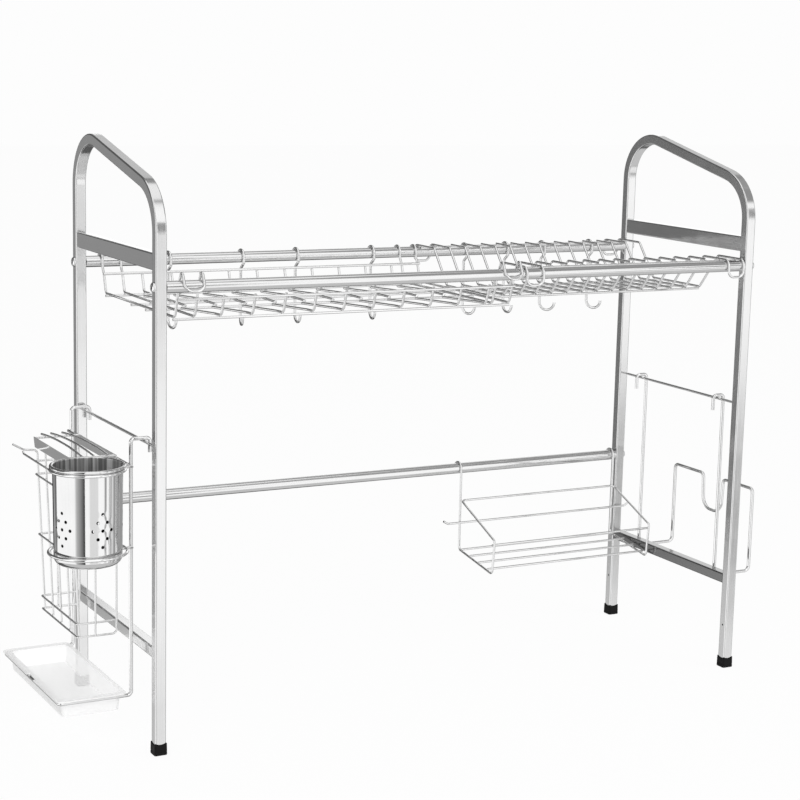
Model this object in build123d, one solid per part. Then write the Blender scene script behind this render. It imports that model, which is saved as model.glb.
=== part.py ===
from build123d import *
import os
from math import atan, cos, degrees, radians, sin, tan

os.makedirs("parts", exist_ok=True)

# Legs, end frames and what ties them. Lengths are in millimetres.
frame_length = 915.0
frame_depth = 308.0
tube_side = 15.0
tube_wall = 1.0
tube_corner = 2.0
front_corner_height = 729.6
back_corner_height = 800.5
frame_bend = 65.0
leg_hole = 3.0
leg_hole_height = 66.0
plate_tall = 22.0
plate_thick = 13.0
plate_height = 643.5
hook_rod = 4.0
hook_rod_height = 406.0
lower_bar_height = 137.0

# Feet
foot_side = 18.0
foot_top_side = 17.4
foot_tall = 17.0
foot_sole = 3.0
foot_corner = 2.6
foot_play = 0.1

# Rails and their bolts
rail_diameter = 16.0
rail_wall = 1.0
rail_height = 612.0
low_rail_height = 270.0
plug_long = 24.0
plug_play = 0.05
bolt_shank = 6.0
bolt_play = 0.05
bolt_hole_play = 0.15
bolt_long = 32.0
bolt_head = 13.5
bolt_head_tall = 3.6
bolt_dome_share = 0.9

# Both shelf racks
rack_wire = 3.5
rack_bend = 6.0
hook_slack = 0.2
rack_pair_gap = 27.0

# Left rack, the deeper one
left_rack_span_shares = (0.025, 0.575)
left_rack_wires = 10
left_rack_first_share = 0.113
left_rack_last_share = 0.909
left_rack_drop = 42.0
left_rack_floor_inset = 24.0
left_rack_rim_inset = 15.5
left_rack_rim_drop = 17.0
left_rack_wire_end = 2.0
left_rack_kink_bend = 4.0
left_rack_hook_angle = 28.0
left_rack_hook_bend = 4.0
left_rack_loop_inset = 13.7
left_rack_loop_drop = 5.0
left_rack_loop_bend = 11.0
left_rack_tip_drop = 6.0
left_rack_hook_foot = 8.0
# Where along the floor, from front to back, the wires step sideways and how far
left_rack_step = 16.0
left_rack_step_shares = ((0.06, 0.4), (0.30, -1.0), (0.40, 0.0), (0.64, 0.0), (0.82, -1.1), (0.90, 0.0))
left_rack_front_shift_share = 0.5
left_rack_floor_shares = (0.01, 0.39, 0.60, 0.99)

# Right rack, the toothed one
right_rack_span_shares = (0.5839, 0.995)
right_rack_wires = 15
right_rack_drop = 41.0
right_rack_floor_inset = 94.0
right_rack_shoulder_inset = 52.0
right_rack_tip_inset = 10.8
right_rack_rim_inset = 12.8
right_rack_loop_drop = 15.0
right_rack_loop_bend = 9.0
right_rack_floor_shares = (0.04, 0.35, 0.65, 0.96)

# S-hooks on the back rail
s_hook_wire = 4.0
s_hook_tail = 5.0
s_hook_side = 8.0
s_hook_curl_drop = 17.0
s_hook_curl_bend = 5.0
s_hook_offset = -1.0
s_hook_drop = 97.0
s_hook_bowl = 24.0
s_hook_tip = 12.6
s_hook_share_along = (0.1373, 0.2617, 0.3583, 0.4961, 0.6744, 0.7550, 0.8294, 0.9272)
s_hook_turns = (7.0, -15.0, -5.0, -8.0, 22.0, 3.0, 43.0, 34.0)
round_share = 0.97

# Spice basket on the low rail
spice_wire = 3.4
spice_start_share = 0.675
spice_length = 284.5
spice_hook_tip = 7.0
spice_back_drop = 128.0
spice_front_drop = 143.0
spice_front_reach = 103.0
spice_front_lean = 5.0
spice_front_tall = 53.0
spice_rim_drop = 49.0
spice_bend = 6.0
spice_floor_shares = (0.12, 0.38, 0.64, 0.90)
spice_rail_share = 0.86
spice_bar_drop = 84.5
spice_bar_overhang = 23.0
spice_bar_tail = 8.0
spice_bar_tail_rise = 4.5

# Board holder on the right rod
board_wire = 5.0
board_front = 51.0
board_width = 201.0
board_hook_wide = 18.3
board_hook_tip = 20.0
board_bar_gap = 0.3
board_arm_drop = 276.5
board_reach = 66.0
board_tall = 129.5
board_bend = 7.5
board_hook_bend = 5.5
board_notch_front = 73.5
board_notch_wide = 52.0
board_notch_lean = 3.5
board_notch_deep = 55.0
board_notch_bend = 19.0

# Carrier on the left rod
carrier_wire = 5.0
carrier_front = 52.0
carrier_width = 238.0
carrier_hook_out = 19.0
carrier_hook_in = 7.0
carrier_hook_tip = 19.0
carrier_drop = 339.0
carrier_reach = 98.0
carrier_bend = 5.0
carrier_hook_bend = 4.8
rod_play = 0.1

# Drip tray on the carrier
tray_wall = 1.6
tray_rim_over = 4.5
tray_rim_inner_gap = 1.0
tray_play = 1.2
tray_deep = 24.0
tray_taper = 8.0
tray_corner = 9.0
tray_notch_place = 113.0
tray_notch_wide = 30.0
tray_notch_deep = 5.0
tray_rest_play = 0.1

# Knife holder and cage on the carrier
cage_wire = 2.8
beam_wire = 4.0
beam_drop = 28.0
beam_over = 1.0
holder_plate_tall = 13.5
holder_plate_thick = 1.0
holder_plate_drop = 36.5
holder_front = 88.0
inner_plate_long = 170.0
outer_plate_long = 155.0
outer_plate_slant = 5.0
holder_wide = 62.0
divider_front_shares = (0.25, 0.51, 0.82)
divider_back_shares = (0.25, 0.47, 0.73)
divider_over = 1.0
divider_bow = 3.0
cross_inset = 3.5
cage_front = 91.0
cage_pitch = 36.3
cage_upright_count = 5
cage_bottom_drop = 264.0
cage_narrowing = 9.5
cage_middle_over = 6.0
cage_top_ring_drop = 74.0
cage_middle_ring_drop = 158.0
cage_low_ring_drop = 246.0
side_hook_drop = 56.0
side_hook_over = 52.0
side_hook_tip = 3.0
side_hook_rise = 3.0
end_hook_drop = 40.5
end_hook_long = 19.0
end_hook_rise = 2.0
end_hook_tip = 15.0
end_hook_tip_rise = 10.5
end_hook_bend = 9.0

# Cutlery cup and its rings
cup_x = -82.5
cup_y = 36.0
cup_top_drop = 20.0
cup_tall = 129.0
cup_top_radius = 44.6
cup_bottom_radius = 43.4
cup_wall = 0.8
cup_corner = 10.0
cup_roll = 2.4
cup_hole = 4.4
cup_hole_height = 51.0
cup_hole_row = 10.6
cup_hole_pitch = 12.6
cup_hole_pattern_count = 5
cup_hole_row_count = 5
cup_hole_turn = 204.0
cup_ring_wire = 4.0
cup_ring_play = 0.7
cup_low_ring_play = 4.4
cup_low_ring_drop = 134.0
cup_tie_over = 1.0
cup_rest_play = 0.1

inner_span = frame_length - tube_side
rail_radius = rail_diameter / 2
front_y = 0.0
back_y = frame_depth


def wire(points, diameter, bends):
    """One round wire that follows the points and is bent at each corner."""
    if len(points) == 2:
        path = Line(*points)
    else:
        path = FilletPolyline(*points, radius=bends)
    start = Plane(origin=path @ 0, z_dir=path % 0)
    return sweep(start * Circle(diameter / 2), path=path)


def box_tube(start, end, wide, tall, wall, corner, side_dir):
    """A straight hollow tube of box section between two points."""
    path = Line(start, end)
    plane = Plane(origin=path @ 0, x_dir=side_dir, z_dir=path % 0)
    outer = plane * RectangleRounded(wide, tall, corner)
    bore = plane * RectangleRounded(wide - 2 * wall, tall - 2 * wall, corner - wall)
    return sweep(outer, path=path) - sweep(bore, path=path)


def rod_along(axis_dir, centre, radius, length):
    """A round rod of the given length, centred on a point."""
    plane = Plane(origin=centre, z_dir=axis_dir)
    return plane * Cylinder(radius, length)


def solids_of(items):
    """All the single solids in a list of shapes."""
    found = []
    for item in items:
        found.extend(item.solids())
    return found


def save(name, *items):
    """Write one node, whose pieces stay separate solids."""
    solids = solids_of(items)
    shape = solids[0] if len(solids) == 1 else Compound(solids)
    shape.label = name
    export_step(shape, "parts/" + name + ".step")


def mirrored_in_depth(point):
    """The same place measured from the back rail."""
    x, y, z = point
    return (x, frame_depth - y, z)


# End frames
bolt_places = ((front_y, rail_height), (back_y, rail_height), (back_y, low_rail_height))


def end_frame(x, inward):
    """One bent tube from foot to foot, drilled for its bolts."""
    corners = [
        (x, front_y, foot_sole),
        (x, front_y, front_corner_height),
        (x, back_y, back_corner_height),
        (x, back_y, foot_sole),
    ]
    path = FilletPolyline(*corners, radius=frame_bend)
    plane = Plane(origin=path @ 0, x_dir=(1, 0, 0), z_dir=path % 0)
    bore_side = tube_side - 2 * tube_wall
    outer = sweep(plane * RectangleRounded(tube_side, tube_side, tube_corner), path=path)
    bore = sweep(plane * RectangleRounded(bore_side, bore_side, tube_corner - tube_wall), path=path)
    tube = outer - bore
    for y, z in bolt_places:
        tube -= rod_along((1, 0, 0), (x, y, z), bolt_shank / 2 + bolt_hole_play, 2 * tube_side)
    for y in (front_y, back_y):
        inner_face = x + inward * tube_side / 2
        tube -= rod_along((1, 0, 0), (inner_face, y, leg_hole_height), leg_hole / 2, 4 * tube_wall)
    return tube


leg_inner = tube_side / 2
for side, x, inward in (("left", 0.0, 1), ("right", frame_length, -1)):
    save(side + "_end_frame", end_frame(x, inward))
    near = leg_inner
    far = frame_depth - leg_inner
    save(side + "_upper_plate", box_tube(
        (x, near, plate_height), (x, far, plate_height),
        plate_thick, plate_tall, tube_wall, tube_corner, (1, 0, 0)))
    save(side + "_lower_bar", box_tube(
        (x, near, lower_bar_height), (x, far, lower_bar_height),
        tube_side, tube_side, tube_wall, tube_corner, (1, 0, 0)))
    save(side + "_hook_rod", wire(
        [(x, near, hook_rod_height), (x, far, hook_rod_height)], hook_rod, None))

# Feet
foot_taper = degrees(atan((foot_side - foot_top_side) / 2 / foot_tall))
socket_side = tube_side + 2 * foot_play
foot = extrude(RectangleRounded(foot_side, foot_side, foot_corner), amount=foot_tall, taper=foot_taper)
socket = extrude(RectangleRounded(socket_side, socket_side, tube_corner), amount=foot_tall)
foot -= Pos(0, 0, foot_sole) * socket
save("front_left_foot", Pos(0, front_y, 0) * foot)
save("back_left_foot", Pos(0, back_y, 0) * foot)
save("front_right_foot", Pos(frame_length, front_y, 0) * foot)
save("back_right_foot", Pos(frame_length, back_y, 0) * foot)

# Rails, with a plug in each end that the bolt screws into
rail_centre_x = frame_length / 2
rail_bore = rail_radius - rail_wall
bolts = []
plugs = []
rail_names = ("front_top_rail", "back_top_rail", "lower_back_rail")
for name, (y, z) in zip(rail_names, bolt_places):
    centre = (rail_centre_x, y, z)
    rail = rod_along((1, 0, 0), centre, rail_radius, inner_span)
    rail -= rod_along((1, 0, 0), centre, rail_bore, inner_span)
    save(name, rail)
    for end, outward in ((0.0, -1), (frame_length, 1)):
        inner_face = end - outward * leg_inner
        plug_centre = (inner_face - outward * plug_long / 2, y, z)
        plug = rod_along((1, 0, 0), plug_centre, rail_bore - plug_play, plug_long)
        plug -= rod_along((1, 0, 0), plug_centre, bolt_shank / 2 + bolt_play, plug_long)
        plugs.append(plug)
        head = Pos(0, 0, bolt_head_tall / 2) * Cylinder(bolt_head / 2, bolt_head_tall)
        dome_edge = head.edges().filter_by(GeomType.CIRCLE).sort_by(Axis.Z)[-1]
        head = fillet(dome_edge, bolt_head_tall * bolt_dome_share)
        shank = Pos(0, 0, -bolt_long / 2) * Cylinder(bolt_shank / 2, bolt_long)
        outer_face = Plane(origin=(end + outward * leg_inner, y, z), z_dir=(outward, 0, 0))
        bolts.append(outer_face * (head + shank))
save("rail_bolts", *bolts)
save("rail_end_plugs", *plugs)

# Left rack
hook_reach = rail_radius + rack_wire / 2 + hook_slack
left_start, left_end = [leg_inner + inner_span * share for share in left_rack_span_shares]
left_length = left_end - left_start
left_floor = rail_height - left_rack_drop
left_rim = rail_height - left_rack_rim_drop
left_depth = frame_depth - 2 * left_rack_floor_inset
upright_lean = (left_rack_floor_inset - left_rack_rim_inset) / (left_rim - left_floor)
upright_top = left_rim + left_rack_wire_end
upright_top_inset = left_rack_rim_inset - upright_lean * left_rack_wire_end

cross_wires = []
for i in range(left_rack_wires):
    along = left_rack_first_share
    along += (left_rack_last_share - left_rack_first_share) * i / (left_rack_wires - 1)
    x = left_start + left_length * along
    front_x = x + left_rack_step * left_rack_front_shift_share
    points = [(front_x, upright_top_inset, upright_top), (front_x, left_rack_floor_inset, left_floor)]
    for depth_share, step_share in left_rack_step_shares:
        y = left_rack_floor_inset + left_depth * depth_share
        points.append((x + left_rack_step * step_share, y, left_floor))
    points.append((x, frame_depth - left_rack_floor_inset, left_floor))
    points.append((x, frame_depth - upright_top_inset, upright_top))
    bends = [rack_bend] + [left_rack_kink_bend] * len(left_rack_step_shares) + [rack_bend]
    cross_wires.append(wire(points, rack_wire, bends))
save("left_rack_cross_wires", *cross_wires)

apex_rise = hook_reach / sin(radians(left_rack_hook_angle))
apex_height = rail_height + apex_rise
hook_foot_height = apex_height - left_rack_loop_inset / tan(radians(left_rack_hook_angle))


def left_end_half(x):
    """One wire of an end pair, from behind the back rail to the front rail's top."""
    return [
        (x, frame_depth + hook_reach, rail_height - left_rack_tip_drop),
        (x, frame_depth + hook_reach, rail_height + hook_reach),
        (x, frame_depth - hook_reach, rail_height + hook_reach),
        (x, frame_depth - hook_reach, rail_height - left_rack_hook_foot),
        (x, frame_depth - left_rack_rim_inset, left_rim),
        (x, frame_depth - left_rack_floor_inset, left_floor),
        (x, left_rack_floor_inset, left_floor),
        (x, left_rack_rim_inset, left_rim),
        (x, left_rack_loop_inset, hook_foot_height),
        (x, front_y, apex_height),
        (x, -left_rack_loop_inset, rail_height - left_rack_loop_drop),
    ]


tight = hook_reach * round_share
half_bends = [tight, tight, left_rack_kink_bend, left_rack_kink_bend, rack_bend, rack_bend]
half_bends += [left_rack_kink_bend, left_rack_kink_bend, left_rack_hook_bend, left_rack_loop_bend]
end_wires = []
for x in (left_start, left_end - rack_pair_gap):
    first = left_end_half(x)
    second = left_end_half(x + rack_pair_gap)
    end_wires.append(wire(first + second[::-1], rack_wire, half_bends + half_bends[::-1]))
save("left_rack_end_wires", *end_wires)

# Its long wires lie outside the uprights in front, inside them behind, and under the floor
upright_length = ((left_rim - left_floor) ** 2 + (left_rack_floor_inset - left_rack_rim_inset) ** 2) ** 0.5
out_y = (left_rim - left_floor) / upright_length * rack_wire
out_z = (left_rack_floor_inset - left_rack_rim_inset) / upright_length * rack_wire
long_from = left_start - rack_wire / 2
long_to = left_end + rack_wire / 2
long_places = [
    (left_rack_rim_inset - out_y, left_rim - out_z),
    (frame_depth - left_rack_rim_inset - out_y, left_rim + out_z),
]
for share in left_rack_floor_shares:
    y = left_rack_floor_inset + left_depth * share
    long_places.append((y, left_floor - rack_wire))
long_wires = [wire([(long_from, y, z), (long_to, y, z)], rack_wire, None) for y, z in long_places]
save("left_rack_long_wires", *long_wires)

# Right rack
right_start, right_end = [leg_inner + inner_span * share for share in right_rack_span_shares]
right_pitch = (right_end - right_start) / (right_rack_wires - 1)
right_floor = rail_height - right_rack_drop
right_ear = rail_height + hook_reach
right_depth = frame_depth - 2 * right_rack_floor_inset
middle_y = frame_depth / 2


def right_front_half(x):
    """The front half of a tooth wire, from the ear's shoulder to the middle of the floor."""
    return [
        (x, right_rack_shoulder_inset, right_ear),
        (x, right_rack_floor_inset, right_floor),
        (x, middle_y, right_floor),
    ]


tooth_wires = []
for i in range(2, right_rack_wires - 2):
    x = right_start + right_pitch * i
    front = [(x, right_rack_tip_inset, right_ear)] + right_front_half(x)[:2]
    back = [mirrored_in_depth(point) for point in front[::-1]]
    tooth_wires.append(wire(front + back, rack_wire, rack_bend))
save("right_rack_cross_wires", *tooth_wires)

end_loops = []
for x in (right_start, right_end - right_pitch):
    first = [(x, -hook_reach, rail_height - right_rack_loop_drop), (x, -hook_reach, right_ear)]
    first += right_front_half(x)
    second = [(px + right_pitch, py, pz) for px, py, pz in first]
    front = first[::-1] + second
    bends = [rack_bend, rack_bend, tight, right_rack_loop_bend]
    end_loops.append(wire(front, rack_wire, bends + bends[::-1]))
    end_loops.append(wire([mirrored_in_depth(point) for point in front], rack_wire, bends + bends[::-1]))
save("right_rack_end_wires", *end_loops)

long_from = right_start - rack_wire / 2
long_to = right_end + rack_wire / 2
long_places = [
    (right_rack_rim_inset, right_ear - rack_wire),
    (frame_depth - right_rack_rim_inset, right_ear - rack_wire),
]
for share in right_rack_floor_shares:
    y = right_rack_floor_inset + right_depth * share
    long_places.append((y, right_floor - rack_wire))
long_wires = [wire([(long_from, y, z), (long_to, y, z)], rack_wire, None) for y, z in long_places]
save("right_rack_long_wires", *long_wires)

# S-hooks
s_reach = rail_radius + s_hook_wire / 2 + hook_slack
s_tight = s_reach * round_share
bowl_bend = s_hook_bowl / 2 * round_share
for number, (share, turn) in enumerate(zip(s_hook_share_along, s_hook_turns), start=1):
    x = leg_inner + inner_span * share
    shank_y = back_y - s_hook_offset
    low = rail_height - s_hook_drop
    aside = s_hook_bowl * sin(radians(turn))
    forward = s_hook_bowl * cos(radians(turn))
    points = [
        (x, back_y + s_reach, rail_height - s_hook_tail),
        (x, back_y + s_reach, rail_height + s_reach),
        (x, back_y - s_reach, rail_height + s_reach),
        (x, back_y - s_reach, rail_height - s_hook_side),
        (x, shank_y, rail_height - s_hook_curl_drop),
        (x, shank_y, low),
        (x + aside, shank_y - forward, low),
        (x + aside, shank_y - forward, low + s_hook_tip),
    ]
    bends = [s_tight, s_tight, s_hook_curl_bend, s_hook_curl_bend, bowl_bend, bowl_bend]
    save("s_hook_" + str(number), wire(points, s_hook_wire, bends))

# Spice basket
spice_reach = rail_radius + spice_wire / 2 + hook_slack
spice_left = leg_inner + inner_span * spice_start_share
spice_right = spice_left + spice_length
spice_back = back_y - spice_reach
spice_bottom_back = low_rail_height - spice_back_drop
spice_bottom_front = low_rail_height - spice_front_drop
spice_front = spice_back - spice_front_reach
spice_rim_y = spice_back - spice_wire
spice_rim = low_rail_height - spice_rim_drop


def spice_half(x):
    """One side of the basket, from the hook's tip to the back of its rim."""
    return [
        (x, back_y + spice_reach, low_rail_height - spice_hook_tip),
        (x, back_y + spice_reach, low_rail_height + spice_reach),
        (x, spice_back, low_rail_height + spice_reach),
        (x, spice_back, spice_bottom_back),
        (x, spice_front, spice_bottom_front),
        (x, spice_front - spice_front_lean, spice_bottom_front + spice_front_tall),
        (x, spice_rim_y, spice_rim),
    ]


spice_tight = spice_reach * round_share
spice_bends = [spice_tight, spice_tight] + [spice_bend] * 4
spice_points = spice_half(spice_left) + spice_half(spice_right)[::-1]
save("spice_basket_frame", wire(spice_points, spice_wire, spice_bends + spice_bends[::-1]))

spice_from = spice_left - spice_wire / 2
spice_to = spice_right + spice_wire / 2
floor_fall = spice_bottom_back - spice_bottom_front
floor_slope = (floor_fall ** 2 + spice_front_reach ** 2) ** 0.5
spice_floor = []
for share in spice_floor_shares:
    y = spice_front + spice_front_reach * share + spice_wire * floor_fall / floor_slope * -1
    z = spice_bottom_front + floor_fall * share + spice_wire * spice_front_reach / floor_slope
    spice_floor.append(wire([(spice_from, y, z), (spice_to, y, z)], spice_wire, None))
front_slope = (spice_front_lean ** 2 + spice_front_tall ** 2) ** 0.5
front_rail_y = spice_front - spice_front_lean * spice_rail_share + spice_wire * spice_front_tall / front_slope
front_rail_z = spice_bottom_front + spice_front_tall * spice_rail_share
front_rail_z += spice_wire * spice_front_lean / front_slope
spice_floor.append(wire([(spice_from, front_rail_y, front_rail_z), (spice_to, front_rail_y, front_rail_z)],
                        spice_wire, None))
save("spice_basket_floor", *spice_floor)

bar_y = spice_back - spice_wire
bar_z = low_rail_height - spice_bar_drop
bar_left = spice_left - spice_bar_overhang
bar_right = spice_right + spice_bar_overhang
save("spice_basket_bar", wire([
    (bar_left - spice_bar_tail, bar_y, bar_z + spice_bar_tail_rise),
    (bar_left, bar_y, bar_z),
    (bar_right, bar_y, bar_z),
    (bar_right + spice_bar_tail, bar_y, bar_z + spice_bar_tail_rise),
], spice_wire, spice_wire))

# Board holder
board_hang = hook_rod_height + hook_rod / 2 + board_wire / 2 + rod_play
board_x = frame_length + tube_side / 2 + board_wire / 2 + board_bar_gap
board_out = board_x + board_reach
board_arm_height = hook_rod_height - board_arm_drop
board_back = board_front + board_width
board_top = board_arm_height + board_tall
board_low = board_top - board_notch_deep
notch_front = board_front + board_notch_front
notch_back = notch_front + board_notch_wide
tip_x = board_x - board_hook_wide
tip_z = board_hang - board_hook_tip - board_wire / 2
board_points = [
    (tip_x, board_back, tip_z),
    (tip_x, board_back, board_hang),
    (board_x, board_back, board_hang),
    (board_x, board_back, board_arm_height),
    (board_out, board_back, board_arm_height),
    (board_out, board_back, board_top),
    (board_out, notch_back, board_top),
    (board_out, notch_back - board_notch_lean, board_low),
    (board_out, notch_front + board_notch_lean, board_low),
    (board_out, notch_front, board_top),
    (board_out, board_front, board_top),
    (board_out, board_front, board_arm_height),
    (board_x, board_front, board_arm_height),
    (board_x, board_front, board_hang),
    (tip_x, board_front, board_hang),
    (tip_x, board_front, tip_z),
]
board_bends = [board_hook_bend] * 2 + [board_bend] * 4 + [board_notch_bend] * 2
board_bends += [board_bend] * 4 + [board_hook_bend] * 2
save("board_holder", wire(board_points, board_wire, board_bends))

# Carrier
carrier_hang = hook_rod_height + hook_rod / 2 + carrier_wire / 2 + rod_play
carrier_back = carrier_front + carrier_width
carrier_x = -carrier_hook_out
carrier_out = carrier_x - carrier_reach
carrier_height = hook_rod_height - carrier_drop
tip_z = carrier_hang - carrier_hook_tip
carrier_half = [
    (carrier_hook_in, carrier_back, tip_z),
    (carrier_hook_in, carrier_back, carrier_hang),
    (carrier_x, carrier_back, carrier_hang),
    (carrier_x, carrier_back, carrier_height),
    (carrier_out, carrier_back, carrier_height),
]
carrier_points = carrier_half + [
    (x, carrier_front, z) for x, y, z in carrier_half[::-1]
]
carrier_bends = [carrier_hook_bend] * 2 + [carrier_bend] * 4 + [carrier_hook_bend] * 2
save("carrier_frame", wire(carrier_points, carrier_wire, carrier_bends))

# Drip tray
wire_half = carrier_wire / 2
rest_height = carrier_height + wire_half + tray_rest_play
rim_left = carrier_out - tray_rim_over
rim_right = carrier_x - carrier_bend - tray_rim_inner_gap
rim_front = carrier_front - tray_rim_over
rim_back = carrier_back + tray_rim_over
body_left = carrier_out + wire_half + tray_play
body_right = rim_right - tray_rim_over
body_front = carrier_front + wire_half + tray_play
body_back = carrier_back - wire_half - tray_play


def plan(left, right, front, back, height, corner):
    """A rounded rectangle seen from above, set by its four sides."""
    centre = ((left + right) / 2, (front + back) / 2, height)
    return Pos(*centre) * RectangleRounded(right - left, back - front, corner)


rim = extrude(plan(rim_left, rim_right, rim_front, rim_back, rest_height, tray_corner), amount=tray_wall)
shell = extrude(plan(body_left, body_right, body_front, body_back, rest_height + tray_wall, tray_corner),
                amount=-tray_deep - tray_wall, taper=tray_taper)
hollow = extrude(plan(body_left + tray_wall, body_right - tray_wall, body_front + tray_wall,
                      body_back - tray_wall, rest_height + tray_wall, tray_corner - tray_wall),
                 amount=-tray_deep, taper=tray_taper)
notch_y = carrier_front + tray_notch_place
notch = Pos(rim_left, notch_y, rest_height) * Box(2 * tray_notch_deep, tray_notch_wide, 4 * tray_wall)
save("drip_tray", rim + shell - hollow - notch)

# Knife holder: two plates, the beam that carries them, cross wires and bowed dividers
beam_x = carrier_x - carrier_wire / 2 - beam_wire / 2
beam_height = hook_rod_height - beam_drop
holder_plate_bottom = hook_rod_height - holder_plate_drop
holder_plate_top = holder_plate_bottom + holder_plate_tall
inner_plate_x = beam_x - beam_wire / 2 - holder_plate_thick / 2
outer_plate_x = inner_plate_x - holder_wide


def holder_plate(x, long, slant):
    """One thin plate on edge, its back end cut at a slant."""
    outline = Polyline(
        (holder_front, holder_plate_bottom),
        (holder_front + long - slant, holder_plate_bottom),
        (holder_front + long, holder_plate_top),
        (holder_front, holder_plate_top),
        close=True)
    plane = Plane(origin=(x, 0, 0), x_dir=(0, 1, 0), z_dir=(1, 0, 0))
    return extrude(plane * make_face(outline), amount=holder_plate_thick / 2, both=True)


save("knife_inner_plate", holder_plate(inner_plate_x, inner_plate_long, 0))
save("knife_outer_plate", holder_plate(outer_plate_x, outer_plate_long, outer_plate_slant))
save("knife_beam", wire([
    (beam_x, carrier_front - beam_over, beam_height),
    (beam_x, carrier_back + beam_over, beam_height),
], beam_wire, None))

holder_left = outer_plate_x + holder_plate_thick / 2
holder_right = inner_plate_x - holder_plate_thick / 2
holder_clear = holder_right - holder_left
holder_back = holder_front + outer_plate_long
cross_z = holder_plate_top - cage_wire / 2
cross_front = holder_front + cross_inset
cross_back = holder_back - cross_inset
cross_mid = (cross_front + cross_back) / 2
cross_half = (cross_back - cross_front) / 2
bow_radius = (cross_half ** 2 + divider_bow ** 2) / (2 * divider_bow)


def divider_height(y):
    """How high a bowed divider stands, from an arc that rests on both cross wires."""
    rise = (bow_radius ** 2 - (y - cross_mid) ** 2) ** 0.5 - (bow_radius ** 2 - cross_half ** 2) ** 0.5
    return cross_z + cage_wire + rise


divider_wires = []
for y in (cross_front, cross_back):
    divider_wires.append(wire([(holder_left, y, cross_z), (holder_right, y, cross_z)], cage_wire, None))
divider_back = holder_front + inner_plate_long + divider_over
for front_share, back_share in zip(divider_front_shares, divider_back_shares):
    bow_points = []
    for y in (holder_front, cross_mid, divider_back):
        share = front_share + (back_share - front_share) * (y - holder_front) / (divider_back - holder_front)
        bow_points.append((holder_left + holder_clear * share, y, divider_height(y)))
    bow = ThreePointArc(*bow_points)
    divider_wires.append(sweep(Plane(origin=bow @ 0, z_dir=bow % 0) * Circle(cage_wire / 2), path=bow))
save("knife_dividers", *divider_wires)

# Cage under the knife holder: uprights outside, one wire round the bottom, rings open on the inner side
cage_bottom = hook_rod_height - cage_bottom_drop
cage_top_ring = hook_rod_height - cage_top_ring_drop
upright_out = holder_left + cage_wire / 2
upright_in = inner_plate_x
upright_end = cross_z - 3 * cage_wire / 2
wire_side = cage_wire
base_bend = 2 * cage_wire
last_y = cage_front + cage_pitch * (cage_upright_count - 1)
ring_front = cage_front - wire_side
ring_back = last_y + wire_side


def cage_outer(z):
    """Where the outer side of the cage stands at a height, as it narrows downwards."""
    return upright_out + cage_narrowing * (upright_end - z) / (upright_end - cage_bottom)


uprights = []
for i in range(cage_upright_count - 1):
    y = cage_front + cage_pitch * i
    uprights.append(wire([(upright_out, y, upright_end), (cage_outer(cage_bottom), y, cage_bottom)],
                         cage_wire, None))
# The last one bends outwards at its top and ends as a utensil hook
end_hook_z = hook_rod_height - end_hook_drop
end_hook_x = cage_outer(end_hook_z) - end_hook_long
uprights.append(wire([
    (end_hook_x - end_hook_tip, last_y, end_hook_z + end_hook_tip_rise),
    (end_hook_x, last_y, end_hook_z + end_hook_rise),
    (cage_outer(end_hook_z), last_y, end_hook_z),
    (cage_outer(cage_bottom), last_y, cage_bottom),
], cage_wire, [end_hook_bend, base_bend]))
save("cage_uprights", *uprights)

base_out = cage_outer(cage_bottom) - wire_side
save("cage_base_wire", wire([
    (upright_in, ring_front, holder_plate_bottom),
    (upright_in, ring_front, cage_bottom),
    (base_out, ring_front, cage_bottom),
    (base_out, ring_back, cage_bottom),
    (upright_in, ring_back, cage_bottom),
    (upright_in, ring_back, holder_plate_bottom),
], cage_wire, [base_bend, wire_side, wire_side, base_bend]))

middle_x = (upright_out + upright_in) / 2
middle_top = cage_top_ring + cage_middle_over
save("cage_end_uprights", *[
    wire([(middle_x, y, middle_top), (middle_x, y, cage_bottom)], cage_wire, None)
    for y in (ring_front - wire_side, ring_back + wire_side)
])

ring_end = upright_in - cage_wire / 2
rings = []
for drop in (cage_top_ring_drop, cage_middle_ring_drop, cage_low_ring_drop):
    z = hook_rod_height - drop
    ring_out = cage_outer(z) - wire_side
    rings.append(wire([
        (ring_end, ring_back, z),
        (ring_out, ring_back, z),
        (ring_out, ring_front, z),
        (ring_end, ring_front, z),
    ], cage_wire, wire_side))

# The highest ring is two wires, and the front one runs on past the back corner as a utensil hook
side_hook_height = hook_rod_height - side_hook_drop
side_x = cage_outer(side_hook_height) - wire_side
side_hook_end = ring_back + side_hook_over
rings.append(wire([
    (ring_end, ring_back, side_hook_height),
    (side_x + cage_wire / 2, ring_back, side_hook_height),
], cage_wire, None))
save("cage_rings", *rings)
save("utensil_hook", wire([
    (ring_end, ring_front, side_hook_height),
    (side_x, ring_front, side_hook_height),
    (side_x, side_hook_end, side_hook_height),
    (side_x, side_hook_end + side_hook_tip, side_hook_height + side_hook_rise),
], cage_wire, [wire_side, wire_side]))

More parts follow.
